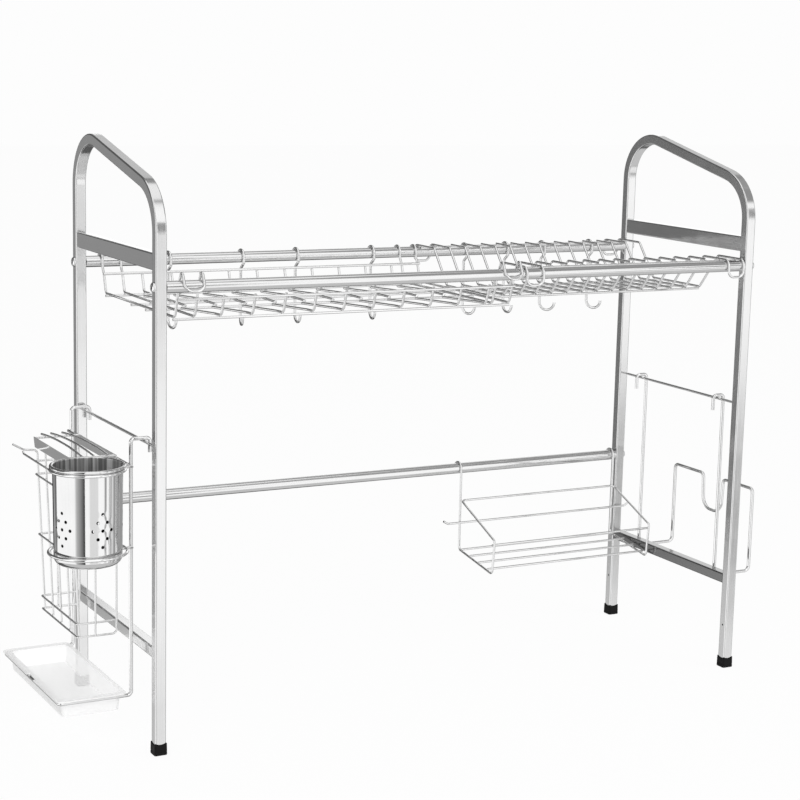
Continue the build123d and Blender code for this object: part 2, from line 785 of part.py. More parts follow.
# Cutlery cup
cup_top = hook_rod_height - cup_top_drop
cup_bottom = cup_top - cup_tall
wall_tall = cup_tall - cup_roll
centred_low = (Align.CENTER, Align.CENTER, Align.MIN)
outer = Cone(cup_bottom_radius, cup_top_radius, wall_tall, align=centred_low)
outer = fillet(outer.edges().filter_by(GeomType.CIRCLE).sort_by(Axis.Z)[0], cup_corner)
inner = Cone(cup_bottom_radius - cup_wall, cup_top_radius - cup_wall, wall_tall, align=centred_low)
inner = fillet(inner.edges().filter_by(GeomType.CIRCLE).sort_by(Axis.Z)[0], cup_corner - cup_wall)
roll_radius = cup_top_radius - cup_wall + cup_roll
cup = outer - Pos(0, 0, cup_wall) * inner + Pos(0, 0, wall_tall) * Torus(roll_radius, cup_roll)
hole_ring = (cup_bottom_radius + cup_top_radius - cup_wall) / 2
cup_holes = []
middle_row = (cup_hole_row_count - 1) / 2
for pattern in range(cup_hole_pattern_count):
    middle = cup_hole_turn + 360 / cup_hole_pattern_count * pattern
    for row in range(cup_hole_row_count):
        in_row = cup_hole_row_count // 2 + 1 - abs(row - cup_hole_row_count // 2)
        for place in range(in_row):
            aside = (place - (in_row - 1) / 2) * cup_hole_pitch
            turn = radians(middle) + aside / hole_ring
            z = cup_hole_height + (row - middle_row) * cup_hole_row
            out_dir = (cos(turn), sin(turn), 0)
            centre = (hole_ring * cos(turn), hole_ring * sin(turn), z)
            cup_holes.append(rod_along(out_dir, centre, cup_hole / 2, 6 * cup_wall))
cup -= cup_holes
save("cutlery_cup", Pos(cup_x, cup_y, cup_bottom) * cup)

# The cup's two rings, each tied to the carrier and to the cage
high_ring_radius = cup_top_radius + cup_ring_play + cup_ring_wire / 2
rest_apart = cup_roll + cup_ring_wire / 2 + cup_rest_play
rest_aside = high_ring_radius - roll_radius
high_ring_z = cup_top - cup_roll - (rest_apart ** 2 - rest_aside ** 2) ** 0.5
low_ring_radius = cup_bottom_radius + cup_low_ring_play + cup_ring_wire / 2
tie_half = cup_ring_wire / 2
cup_low_ring_height = hook_rod_height - cup_low_ring_drop
cup_rings = []
for radius, z in ((high_ring_radius, high_ring_z), (low_ring_radius, cup_low_ring_height)):
    cup_rings.append(Pos(cup_x, cup_y, z) * Torus(radius, tie_half))
    tie_z = z - cup_ring_wire
    tie_y = carrier_front - carrier_wire / 2 - tie_half
    cross_x = cup_x + (radius ** 2 - (tie_y - cup_y) ** 2) ** 0.5
    cup_rings.append(wire([
        (carrier_x + cup_tie_over, tie_y, tie_z),
        (cross_x - tie_half, tie_y, tie_z),
    ], cup_ring_wire, None))
    tie_x = cage_outer(tie_z) + cage_wire / 2 + tie_half
    cross_y = cup_y + (radius ** 2 - (tie_x - cup_x) ** 2) ** 0.5
    cup_rings.append(wire([
        (tie_x, cross_y - tie_half, tie_z),
        (tie_x, cage_front + cup_tie_over, tie_z),
    ], cup_ring_wire, None))
save("cup_rings", *cup_rings)
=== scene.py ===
"""Looks of the over sink dish rack: finishes, moulded and welded details, studio and camera.

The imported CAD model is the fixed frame. Sizes are in millimetres in the rack's own axes, and a
mesh gets them in metres: +X along the length, +Y from front to back and +Z up, from the centre
of the front left foot's underside.
"""

import logging
import math
from dataclasses import dataclass, field
from enum import Enum

import bmesh
import bpy
import numpy as np
from mathutils import Matrix


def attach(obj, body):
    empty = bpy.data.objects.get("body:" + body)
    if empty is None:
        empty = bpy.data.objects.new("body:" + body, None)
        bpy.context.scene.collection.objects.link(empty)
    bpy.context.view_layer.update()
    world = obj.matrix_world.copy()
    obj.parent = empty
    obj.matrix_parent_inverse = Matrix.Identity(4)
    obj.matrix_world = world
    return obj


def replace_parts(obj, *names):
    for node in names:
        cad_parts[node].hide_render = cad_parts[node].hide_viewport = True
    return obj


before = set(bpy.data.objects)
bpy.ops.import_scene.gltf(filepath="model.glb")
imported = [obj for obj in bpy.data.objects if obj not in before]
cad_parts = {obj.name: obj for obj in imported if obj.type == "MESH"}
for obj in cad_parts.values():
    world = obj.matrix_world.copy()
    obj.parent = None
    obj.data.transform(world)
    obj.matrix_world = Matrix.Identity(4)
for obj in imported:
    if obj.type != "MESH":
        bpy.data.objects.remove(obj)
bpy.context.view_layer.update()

LOG = logging.getLogger("dish_rack")
MM = 0.001

FRAME_LENGTH = 915.0
FRAME_DEPTH = 308.0
TUBE_SIDE = 15.0
RAIL_HEIGHT = 612.0
LOW_RAIL_HEIGHT = 270.0
WELD_RADIUS = 1.55


# Shared helpers

def linear(hex_colour: str) -> tuple[float, float, float, float]:
    """Turn an sRGB hex colour into the linear RGBA that the shaders take.

    Args:
        hex_colour: The colour as "#RRGGBB".

    Returns:
        Linear red, green and blue, and an alpha of one.
    """
    parts = [int(hex_colour[i:i + 2], 16) / 255 for i in (1, 3, 5)]
    light = [p / 12.92 if p <= 0.04045 else ((p + 0.055) / 1.055) ** 2.4 for p in parts]
    return light[0], light[1], light[2], 1.0


def add(tree: bpy.types.NodeTree, kind: str, inputs: dict | None = None, **settings) -> bpy.types.Node:
    """Add one shader node with its settings, its input values and its links.

    Args:
        tree: The node tree that takes the node.
        kind: The node's type without the words "ShaderNode".
        inputs: Input name or number to a value, or to the output socket that feeds it.
        **settings: The node's own fields.

    Returns:
        The new node.
    """
    node = tree.nodes.new("ShaderNode" + kind)
    for name, value in settings.items():
        setattr(node, name, value)
    for name, value in (inputs or {}).items():
        if isinstance(value, bpy.types.NodeSocket):
            tree.links.new(value, node.inputs[name])
        else:
            node.inputs[name].default_value = value
    return node


def noise(tree: bpy.types.NodeTree, place: bpy.types.NodeSocket, size_mm: float,
          detail: float = 2.0) -> bpy.types.NodeSocket:
    """Add soft noise with features of about one size.

    Args:
        tree: The material's node tree.
        place: The coordinates to use.
        size_mm: Size of the largest features.
        detail: How many finer layers lie over them.

    Returns:
        The noise's output socket.
    """
    inputs = {"Vector": place, "Scale": 1 / (size_mm * MM), "Detail": detail}
    return add(tree, "TexNoise", inputs).outputs[0]


def ramp(tree: bpy.types.NodeTree, value: bpy.types.NodeSocket, low: float, high: float,
         start: float = 0.0, end: float = 1.0, **settings) -> bpy.types.NodeSocket:
    """Map a value from one range to another, and hold it at the ends.

    Args:
        tree: The material's node tree.
        value: The value to map.
        low: Where it gives the start.
        high: Where it gives the end.
        start: The result at the low value.
        end: The result at the high value.
        **settings: The node's own fields.

    Returns:
        The result's socket.
    """
    inputs = {"Value": value, "From Min": low, "From Max": high, "To Min": start, "To Max": end}
    return add(tree, "MapRange", inputs, **settings).outputs[0]


def tint(tree: bpy.types.NodeTree, share: bpy.types.NodeSocket, first: str,
         second: str | bpy.types.NodeSocket) -> bpy.types.NodeSocket:
    """Mix two colours.

    Args:
        tree: The material's node tree.
        share: Nought for the first colour and one for the second.
        first: The first colour as "#RRGGBB".
        second: The second colour, also as the output socket that makes it.

    Returns:
        The mixed colour's socket.
    """
    last = linear(second) if isinstance(second, str) else second
    return add(tree, "Mix", {0: share, 6: linear(first), 7: last}, data_type="RGBA").outputs[2]


def math_node(tree: bpy.types.NodeTree, operation: str, *values) -> bpy.types.NodeSocket:
    """Work out one sum or comparison of values and sockets, and return its socket."""
    return add(tree, "Math", dict(enumerate(values)), operation=operation).outputs[0]


def new_material(name: str) -> tuple[bpy.types.Material, bpy.types.NodeTree]:
    """Make an empty node material.

    Args:
        name: The material's name.

    Returns:
        The material and its cleared node tree.
    """
    material = bpy.data.materials.new(name)
    material.use_nodes = True
    material.node_tree.nodes.clear()
    return material, material.node_tree


def rounded_rectangle(left: float, right: float, front: float, back: float, corner: float,
                      side_steps: int = 12, corner_steps: int = 8) -> np.ndarray:
    """Walk once round a rectangle with round corners, anticlockwise from above.

    Each corner is a quarter circle: centre + corner * (cos a, sin a). The sides are divided evenly.

    Args:
        left: Lowest first coordinate.
        right: Highest first coordinate.
        front: Lowest second coordinate.
        back: Highest second coordinate.
        corner: Radius of the corners.
        side_steps: Points along each side.
        corner_steps: Points round each corner.

    Returns:
        An array of points by two coordinates.
    """
    centres = np.array([(right - corner, front + corner), (right - corner, back - corner),
                        (left + corner, back - corner), (left + corner, front + corner)])
    pieces = []
    for number, centre in enumerate(centres):
        turn = np.linspace(0, math.pi / 2, corner_steps) + math.pi / 2 * (number - 1)
        arc = centre + corner * np.stack([np.cos(turn), np.sin(turn)], axis=1)
        following = centres[(number + 1) % 4]
        begin = arc[-1]
        end = following + corner * np.array([math.cos(turn[-1]), math.sin(turn[-1])])
        share = np.linspace(0, 1, side_steps + 2)[1:-1, None]
        pieces += [arc, begin + (end - begin) * share]
    return np.concatenate(pieces)


class Surface:
    """Collects the grids and caps of one piece, in millimetres, and makes its mesh."""

    def __init__(self) -> None:
        """Start with no points and no faces."""
        self.points: list[np.ndarray] = []
        self.faces: list[list[int]] = []
        self.count = 0

    def take(self, points: np.ndarray) -> int:
        """Keep some points and return the number of the first."""
        first = self.count
        self.points.append(points.reshape(-1, 3))
        self.count += points.size // 3
        return first

    def grid(self, points: np.ndarray) -> np.ndarray:
        """Join rows of points with quads, the last column to the first.

        Args:
            points: Rows by columns by three.

        Returns:
            The points' numbers, rows by columns.
        """
        rows, columns = points.shape[:2]
        numbers = self.take(points) + np.arange(rows * columns).reshape(rows, columns)
        walk = np.hstack([numbers, numbers[:, :1]])
        quads = np.stack([walk[:-1, :-1], walk[:-1, 1:], walk[1:, 1:], walk[1:, :-1]], axis=-1)
        self.faces += quads.reshape(-1, 4).tolist()
        return numbers

    def cap(self, ring: np.ndarray, centre: np.ndarray) -> None:
        """Close a ring of point numbers with a fan to one middle point.

        Args:
            ring: The numbers of the ring's points, in order.
            centre: The middle point.
        """
        middle = self.take(np.asarray(centre, float))
        following = np.roll(ring, -1)
        self.faces += np.stack([ring, following, np.full(len(ring), middle)], axis=1).tolist()

    def copies(self, shape: "Surface", places: np.ndarray) -> None:
        """Repeat another surface at many places.

        Args:
            shape: The surface to repeat, built round the origin.
            places: Places by three.
        """
        points = np.concatenate(shape.points)
        for place in places:
            first = self.take(points + place)
            self.faces += [[first + number for number in face] for face in shape.faces]

    def build(self, name: str, body: str, slot: str,
              material: bpy.types.Material) -> bpy.types.Object:
        """Make the object, smooth and facing outwards, and let it ride on its body.

        Args:
            name: The piece's name.
            body: The CAD body that it moves with.
            slot: The record's material slot; not used.
            material: Its finish.

        Returns:
            The finished object, at the origin.
        """
        mesh = bpy.data.meshes.new(name)
        mesh.from_pydata((np.concatenate(self.points) * MM).tolist(), [], self.faces)
        work = bmesh.new()
        work.from_mesh(mesh)
        bmesh.ops.recalc_face_normals(work, faces=work.faces)
        work.to_mesh(mesh)
        work.free()
        mesh.polygons.foreach_set("use_smooth", np.ones(len(mesh.polygons), bool))
        mesh.materials.append(material)
        piece = bpy.data.objects.new(name, mesh)
        bpy.context.scene.collection.objects.link(piece)
        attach(piece, body)
        LOG.info("%s: %d faces", name, len(mesh.polygons))
        return piece


# Finishes

class Grain(Enum):
    """The way that the polishing lines run: which of the three axes is the long one."""

    ALONG_X = (1, 0, 0)
    ALONG_Y = (0, 1, 0)
    ALONG_Z = (0, 0, 1)


@dataclass(frozen=True)
class StainlessSteel:
    """Stainless steel, drawn or rolled and then polished along its length.

    The polishing leaves fine lines along the piece, which spread a reflection sideways, and the
    handling leaves soft clouds of a duller sheen.
    """

    name: str
    light: str = "#EAEAEA"
    dark: str = "#D2D2D2"
    roughness: float = 0.2
    spread: float = 0.08
    grain: Grain = Grain.ALONG_Z
    line_mm: float = 0.7
    line_long_mm: float = 60.0
    line_depth_mm: float = 0.01
    line_detail: float = 3.0
    line_fineness: float = 0.6
    line_strength: float = 0.5
    cloud_mm: float = 45.0
    cloud_share: float = 0.45
    low_level: float = 0.3
    high_level: float = 0.7
    slope_degrees: float = 0.0
    slope_from_mm: float = 0.0
    slope_blend_mm: float = 15.0

    def lines(self, tree: bpy.types.NodeTree, place: bpy.types.NodeSocket,
              grain: Grain) -> bpy.types.NodeSocket:
        """Long thin noise that runs one way.

        Real lines are 0.1 mm wide, drawn here wide enough to show.

        Args:
            tree: The material's node tree.
            place: The coordinates to use.
            grain: The long axis.

        Returns:
            The noise's output socket.
        """
        sizes = [self.line_long_mm if long_way else self.line_mm for long_way in grain.value]
        stretched = add(tree, "Mapping", {"Vector": place, "Scale": [1 / (MM * size) for size in sizes]})
        return add(tree, "TexNoise", {"Vector": stretched.outputs[0], "Scale": 1.0,
                                      "Detail": self.line_detail, "Roughness": self.line_fineness}).outputs[0]

    def build(self) -> bpy.types.Material:
        """Make the node material.

        Returns:
            The material.
        """
        material, tree = new_material(self.name)
        place = add(tree, "TexCoord").outputs["Object"]
        lines = self.lines(tree, place, self.grain)
        if self.slope_from_mm:
            angle = -math.radians(self.slope_degrees)
            turned = add(tree, "VectorRotate", {"Vector": place, "Angle": angle}, rotation_type="X_AXIS")
            height = add(tree, "SeparateXYZ", {0: place}).outputs["Z"]
            upper = ramp(tree, height, (self.slope_from_mm - self.slope_blend_mm) * MM,
                         (self.slope_from_mm + self.slope_blend_mm) * MM, interpolation_type="SMOOTHSTEP")
            sloping = self.lines(tree, turned.outputs[0], Grain.ALONG_Y)
            lines = add(tree, "Mix", {0: upper, 2: lines, 3: sloping}).outputs[0]
        clouds = noise(tree, place, self.cloud_mm)
        both = add(tree, "Mix", {0: self.cloud_share, 2: lines, 3: clouds}).outputs[0]
        rough = ramp(tree, both, self.low_level, self.high_level,
                     self.roughness - self.spread, self.roughness + self.spread)
        bump = add(tree, "Bump", {"Height": lines, "Strength": self.line_strength,
                                  "Distance": self.line_depth_mm * MM})
        metal = add(tree, "BsdfPrincipled", {"Base Color": tint(tree, both, self.dark, self.light),
                                             "Metallic": 1.0, "Roughness": rough, "Normal": bump.outputs[0]})
        add(tree, "OutputMaterial", {"Surface": metal.outputs[0]})
        return material


@dataclass(frozen=True)
class DrawnCup(StainlessSteel):
    """Stainless sheet deep drawn to a cup: bright outside, and left satin inside by the punch.

    Soft stripes of light and dark grey run down the inner wall near the rim, and further down a
    painted shade darkens the wall to a dark grey.
    """

    axis_mm: tuple[float, float, float] = (-82.5, 36.0, 257.0)
    middle_radius_mm: float = 43.0
    taper: float = 0.0093
    corner_mm: float = 12.0
    satin: str = "#E4E4E4"
    shaded: str = "#7E7E7E"
    satin_roughness: float = 0.42
    satin_metallic: float = 0.55
    stripe_mm: float = 5.0
    stripe_long_mm: float = 250.0
    stripe_detail: float = 2.0
    stripe_low: float = 0.42
    stripe_high: float = 0.66
    # deep is the painted shade: the dark grey that the inner wall takes further down.
    deep: str = "#262626"
    shade_full_below_mm: float = 55.0
    shade_gone_above_mm: float = 100.0

    def build(self) -> bpy.types.Material:
        """Make the node material: bright sheet, and satin inside the middle of the wall.

        Inside = nearer to the axis than middle radius + taper * height, and above the bottom corner.
        Further down inside, the colour darkens to a painted shade.

        Returns:
            The material.
        """
        material = super().build()
        tree = material.node_tree
        bright = next(node for node in tree.nodes if node.type == "BSDF_PRINCIPLED")
        place = add(tree, "TexCoord").outputs["Object"]
        centred = add(tree, "VectorMath", {0: place, 1: [value * MM for value in self.axis_mm]},
                      operation="SUBTRACT").outputs[0]
        flat = add(tree, "VectorMath", {0: centred, 1: (1, 1, 0)}, operation="MULTIPLY").outputs[0]
        radius = add(tree, "VectorMath", {0: flat}, operation="LENGTH").outputs["Value"]
        height = add(tree, "SeparateXYZ", {0: centred}).outputs["Z"]
        wall = math_node(tree, "MULTIPLY_ADD", height, self.taper, self.middle_radius_mm * MM)
        within = math_node(tree, "LESS_THAN", radius, wall)
        above = math_node(tree, "GREATER_THAN", height, self.corner_mm * MM)
        inside = math_node(tree, "MULTIPLY", within, above)

        sizes = (self.stripe_mm, self.stripe_mm, self.stripe_long_mm)
        stretched = add(tree, "Mapping", {"Vector": place, "Scale": [1 / (MM * size) for size in sizes]})
        stripes = add(tree, "TexNoise", {"Vector": stretched.outputs[0], "Scale": 1.0,
                                         "Detail": self.stripe_detail}).outputs[0]
        share = ramp(tree, stripes, self.stripe_low, self.stripe_high)
        striped = tint(tree, share, self.shaded, self.satin)
        # Painted shade: below the upper height the inner wall darkens towards the deep colour, fully so below
        # the lower height.
        lit = ramp(tree, height, self.shade_full_below_mm * MM, self.shade_gone_above_mm * MM)
        satin = add(tree, "BsdfPrincipled", {"Base Color": tint(tree, lit, self.deep, striped),
                                             "Metallic": self.satin_metallic,
                                             "Roughness": self.satin_roughness})
        mix = add(tree, "MixShader", {0: inside, 1: bright.outputs[0], 2: satin.outputs[0]})
        output = next(node for node in tree.nodes if node.type == "OUTPUT_MATERIAL")
        tree.links.new(mix.outputs[0], output.inputs["Surface"])
        return material


@dataclass(frozen=True)
class MouldedRubber:
    """Black rubber, compression moulded in a spark-eroded tool: nearly black, with a soft grainy sheen."""

    name: str = "rubber_moulded"
    colour: str = "#080808"
    dusty: str = "#141414"
    roughness: float = 0.5
    sheen: float = 0.18
    grit_mm: float = 0.5
    grit_depth_mm: float = 0.03
    grit_strength: float = 0.6
    dust_mm: float = 6.0
    dust_detail: float = 3.0
    dust_low: float = 0.5
    dust_high: float = 0.8
    dust_share: float = 0.6

    def build(self) -> bpy.types.Material:
        """Make the node material.

        Returns:
            The material.
        """
        material, tree = new_material(self.name)
        place = add(tree, "TexCoord").outputs["Object"]
        dust = noise(tree, place, self.dust_mm, self.dust_detail)
        faint = ramp(tree, dust, self.dust_low, self.dust_high, 0.0, self.dust_share)
        bump = add(tree, "Bump", {"Height": noise(tree, place, self.grit_mm), "Strength": self.grit_strength,
                                  "Distance": self.grit_depth_mm * MM})
        rubber = add(tree, "BsdfPrincipled", {"Base Color": tint(tree, faint, self.colour, self.dusty),
                                              "Roughness": self.roughness, "Specular IOR Level": self.sheen,
                                              "Normal": bump.outputs[0]})
        add(tree, "OutputMaterial", {"Surface": rubber.outputs[0]})
        return material


@dataclass(frozen=True)
class MilkyPolypropylene:
    """Natural polypropylene, injection moulded thin: milky, lit from inside, with legs faint behind it.

    Where the eye looks along the wall it sees more plastic, so the wall is less see-through there and rims
    and creases take a painted light grey shade. A painted glow, emission in the plastic's colour, makes it
    look lit from inside.
    """

    name: str = "polypropylene_milky"
    colour: str = "#FAFAFA"
    # edge: the painted light grey shade on rims and creases.
    edge: str = "#CACACA"
    roughness: float = 0.3
    refraction: float = 1.49
    through_share: float = 0.52
    edge_share: float = 0.34
    edge_blend: float = 0.35
    # glow: a painted glow, emission in the plastic's own colour that brightens it to near white.
    glow: float = 0.30
    flow_mm: float = 18.0
    flow_depth_mm: float = 0.2
    flow_strength: float = 0.2

    def build(self) -> bpy.types.Material:
        """Make the node material.

        Returns:
            The material.
        """
        material, tree = new_material(self.name)
        place = add(tree, "TexCoord").outputs["Object"]
        bump = add(tree, "Bump", {"Height": noise(tree, place, self.flow_mm), "Strength": self.flow_strength,
                                  "Distance": self.flow_depth_mm * MM})
        facing = add(tree, "LayerWeight", {"Blend": self.edge_blend}).outputs["Facing"]
        # Painted shade: the colour turns light grey where the eye looks along the wall.
        colour = tint(tree, facing, self.colour, self.edge)
        solid = ramp(tree, facing, 0.0, 1.0, 1 - self.through_share, 1 - self.edge_share)
        plastic = add(tree, "BsdfPrincipled", {"Base Color": colour, "Roughness": self.roughness,
                                               "IOR": self.refraction, "Normal": bump.outputs[0],
                                               "Alpha": solid, "Emission Color": colour,
                                               "Emission Strength": self.glow})
        add(tree, "OutputMaterial", {"Surface": plastic.outputs[0]})
        return material


# Studio and camera

@dataclass
class Camera:
    """The camera, worked out from the picture's perspective for an image of 800 by 800."""

    place_mm: tuple[float, float, float] = (-868.919, -2272.4718, 907.4168)
    yaw: float = 28.0991
    pitch: float = 10.1253
    roll: float = 1.3552
    sensor_mm: float = 36.0
    lens_mm: float = 87.435
    far_m: float = 50.0

    def build(self) -> bpy.types.Object:
        """Make the camera and make it the scene's.

        Returns:
            The camera object.
        """
        yaw, pitch, roll = (math.radians(angle) for angle in (self.yaw, self.pitch, self.roll))
        forward = np.array([math.sin(yaw) * math.cos(pitch), math.cos(yaw) * math.cos(pitch),
                            -math.sin(pitch)])
        level = np.array([math.cos(yaw), -math.sin(yaw), 0.0])
        steep = np.cross(level, forward)
        right = level * math.cos(roll) + steep * math.sin(roll)
        upward = -level * math.sin(roll) + steep * math.cos(roll)
        data = bpy.data.cameras.new("camera")
        data.sensor_width = self.sensor_mm
        data.lens = self.lens_mm
        data.clip_end = self.far_m
        camera = bpy.data.objects.new("camera", data)
        bpy.context.scene.collection.objects.link(camera)
        turn = np.stack([right, upward, -forward], axis=1).tolist()
        place = Matrix.Translation([value * MM for value in self.place_mm])
        camera.matrix_world = place @ Matrix(turn).to_4x4()
        bpy.context.scene.camera = camera
        return camera


@dataclass(frozen=True)
class Flat:
    """One upright grey or white flat of the studio, set by compass and height angles in degrees."""

    left: float
    right: float
    low: float
    high: float
    level: float
    soft: float = 1.5

    def share(self, compass: np.ndarray, height: np.ndarray) -> np.ndarray:
        """How much of this flat shows in each direction.

        Share = the product of four ramps, each rising from 0 to 1 over the soft edge.

        Args:
            compass: Compass angles.
            height: Height angles.

        Returns:
            Values from 0 to 1.
        """
        gaps = (compass - self.left, self.right - compass, height - self.low, self.high - height)
        return np.prod([np.clip(gap / self.soft + 0.5, 0, 1) for gap in gaps], axis=0)


@dataclass
class Studio:
    """A white room: pale floor, soft lamps, and grey and bright flats that only polished metal sees.

    The flats stand round the rack as they do in a studio for metalware. Compass angles run from the
    front towards the right, and height angles from the horizon up, so that the steel has bands of
    white and grey to reflect.
    """

    middle_mm: tuple[float, float, float] = (457.0, 154.0, 350.0)
    dome_radius_mm: float = 10000.0
    floor_half_mm: float = 15000.0
    compass_step: float = 0.5
    height_step: float = 1.0
    floor_steps: int = 9
    white: str = "#FDFDFD"
    pure_white: str = "#FFFFFF"
    floor_colour: str = "#F4F4F4"
    floor_glow: float = 0.95
    soft_level: float = 0.55
    lamp_watts: float = 40.0
    lamp_side_m: float = 1.8
    lamp_places: tuple = (("lamp_left", (-1.6, -2.2, 2.4), 1.0), ("lamp_right", (2.6, -1.8, 2.2), 0.6))
    wall_stops: tuple = (
        (-180, 0.04), (-167, 0.04), (-165, 0.33), (-153.5, 0.33), (-151.5, 0.20), (-139.5, 0.19),
        (-138, 1.25), (-64.2, 1.25), (-57.2, 0.6), (-31.0, 0.03), (-30.2, 1.25), (51, 1.25),
        (52.6, 0.3), (56, 1.1), (60, 0.3), (66, 1.0), (75.6, 0.40), (130, 0.38), (160, 0.33),
        (163, 0.04), (180, 0.04))
    flats: tuple = (
        Flat(-200, 200, -95, -31, 0.12),
        Flat(-125, 125, -95, -31, 0.70, 6.0),
        Flat(34.5, 42.5, -17, -9.5, 0.40, 4.0),
        Flat(33, 44, -31, -17.1, 1.0, 0.8),
        Flat(13.5, 21, -31, -18.5, 0.95, 2.0),
        Flat(-16, 12, -28, -4, 0.93, 3.0),
        Flat(13.5, 21, -8, 4.5, 0.90, 1.0),
        Flat(13.5, 21, 4.5, 20, 0.20, 1.0),
        Flat(37.5, 42.5, 4.5, 20, 0.20, 1.0),
        Flat(-200, 200, 62, 95, 1.1, 4.0),
        Flat(33, 72, 30, 62, 0.36, 4.0),
        Flat(108, 140, 47, 62, 0.30, 4.0),
        Flat(-166, -152.5, -31, -17.2, 0.64, 1.5),
        Flat(-166, -152.5, -17.2, -13.2, 0.42, 1.5),
        Flat(-152.5, -139, -31, -15.2, 0.70, 0.6),
        Flat(133, 200, 4, 50, 0.12, 4.0),
        Flat(-200, -142, 4, 50, 0.12, 4.0),
        Flat(125, 165, -1, 21, 1.25, 1.5),
        Flat(150, 165, 11, 14.7, 0.12, 0.6),
        Flat(122, 168, 21, 47, 0.64, 3.0),
        Flat(-144, -92, 3, 60, 0.14, 3.0),
    )

    def rays_seen(self, tree: bpy.types.NodeTree) -> bpy.types.NodeSocket:
        """One for rays from the camera, off metal and through plastic, and nought for the rest."""
        path = add(tree, "LightPath").outputs
        first = math_node(tree, "MAXIMUM", path["Is Camera Ray"], path["Is Glossy Ray"])
        return math_node(tree, "MAXIMUM", first, path["Is Transmission Ray"])

    def world(self) -> None:
        """White to look at, and a plain soft level on the object."""
        world = bpy.data.worlds.new("white_room")
        world.use_nodes = True
        bpy.context.scene.world = world
        tree = world.node_tree
        tree.nodes.clear()
        soft = add(tree, "Background", {"Color": linear(self.pure_white), "Strength": self.soft_level})
        white = add(tree, "Background", {"Color": linear(self.white), "Strength": 1.0})
        mix = add(tree, "MixShader", {0: self.rays_seen(tree), 1: soft.outputs[0], 2: white.outputs[0]})
        add(tree, "OutputWorld", {"Surface": mix.outputs[0]})

    def floor(self) -> bpy.types.Object:
        """Lay the pale floor, which looks white and still takes the object's shadow.

        Returns:
            The floor.
        """
        material, tree = new_material("floor_white")
        matt = add(tree, "BsdfDiffuse", {"Color": linear(self.floor_colour)})
        white = add(tree, "Emission", {"Color": linear(self.pure_white), "Strength": 1.0})
        share = math_node(tree, "MULTIPLY", self.rays_seen(tree), self.floor_glow)
        mix = add(tree, "MixShader", {0: share, 1: matt.outputs[0], 2: white.outputs[0]})
        add(tree, "OutputMaterial", {"Surface": mix.outputs[0]})
        side = np.linspace(-self.floor_half_mm, self.floor_half_mm, self.floor_steps) * MM
        across, deep = np.meshgrid(side, side, indexing="ij")
        floor = self.stage("floor", np.stack([across, deep, np.zeros_like(across)], axis=-1), material)
        floor.visible_glossy = False
        return floor

    def level(self, compass: np.ndarray, height: np.ndarray) -> np.ndarray:
        """How bright the room is in each direction: the wall, with the flats laid over it in turn.

        Args:
            compass: Compass angles in degrees.
            height: Height angles in degrees.

        Returns:
            The emission strength.
        """
        angles, levels = np.array(self.wall_stops).T
        seen = np.interp(compass, angles, levels)
        for flat in self.flats:
            share = flat.share(compass, height)
            seen = seen * (1 - share) + flat.level * share
        return seen

    def dome(self) -> bpy.types.Object:
        """Stand the flats round the rack as one sphere.

        Point = middle + radius * (cos e sin a, -cos e cos a, sin e), for compass angle a and height
        angle e.

        Returns:
            The sphere.
        """
        material, tree = new_material("studio_flats")
        level = add(tree, "Attribute", attribute_name="level").outputs["Fac"]
        glow = add(tree, "Emission", {"Color": linear(self.pure_white), "Strength": level})
        add(tree, "OutputMaterial", {"Surface": glow.outputs[0]})
        around = np.arange(-180, 180 + self.compass_step / 2, self.compass_step)
        upward = np.arange(-90, 90 + self.height_step / 2, self.height_step)
        compass, height = np.meshgrid(around, upward, indexing="ij")
        a, e = np.radians(compass), np.radians(height)
        points = np.stack([np.cos(e) * np.sin(a), -np.cos(e) * np.cos(a), np.sin(e)], axis=-1)
        points = (np.array(self.middle_mm) + self.dome_radius_mm * points) * MM
        dome = self.stage("studio_flats", points, material)
        layer = dome.data.attributes.new("level", "FLOAT", "POINT")
        layer.data.foreach_set("value", self.level(compass, height).ravel().astype(np.float32))
        for kind in ("camera", "diffuse", "transmission", "shadow"):
            setattr(dome, "visible_" + kind, False)
        return dome

    def stage(self, name: str, points: np.ndarray, material: bpy.types.Material) -> bpy.types.Object:
        """Make one piece of the stage from a grid of points in metres.

        Args:
            name: The object's name.
            points: Rows by columns by three.
            material: Its material.

        Returns:
            The object.
        """
        rows, columns = points.shape[:2]
        numbers = np.arange(rows * columns).reshape(rows, columns)
        quads = np.stack([numbers[:-1, :-1], numbers[1:, :-1], numbers[1:, 1:], numbers[:-1, 1:]], axis=-1)
        mesh = bpy.data.meshes.new(name)
        mesh.from_pydata(points.reshape(-1, 3).tolist(), [], quads.reshape(-1, 4).tolist())
        mesh.materials.append(material)
        piece = bpy.data.objects.new(name, mesh)
        bpy.context.scene.collection.objects.link(piece)
        return piece

    def lamps(self) -> None:
        """Hang two large soft lamps, front left and front right, above the rack."""
        for name, place, share in self.lamp_places:
            data = bpy.data.lights.new(name, "AREA")
            data.shape = "SQUARE"
            data.size = self.lamp_side_m
            data.energy = self.lamp_watts * share
            lamp = bpy.data.objects.new(name, data)
            bpy.context.scene.collection.objects.link(lamp)
            aim = np.array(self.middle_mm) * MM - np.array(place)
            away = -aim / np.linalg.norm(aim)
            side = np.cross([0, 0, 1], away)
            side /= np.linalg.norm(side)
            turn = np.stack([side, np.cross(away, side), away], axis=1).tolist()
            lamp.matrix_world = Matrix.Translation(place) @ Matrix(turn).to_4x4()
            lamp.visible_camera = False
            lamp.visible_glossy = False

    def build(self) -> None:
        """Set the view transform and make the whole studio."""
        bpy.context.scene.view_settings.view_transform = "Standard"
        self.world()
        self.floor()
        self.dome()
        self.lamps()


# The rack's own pieces

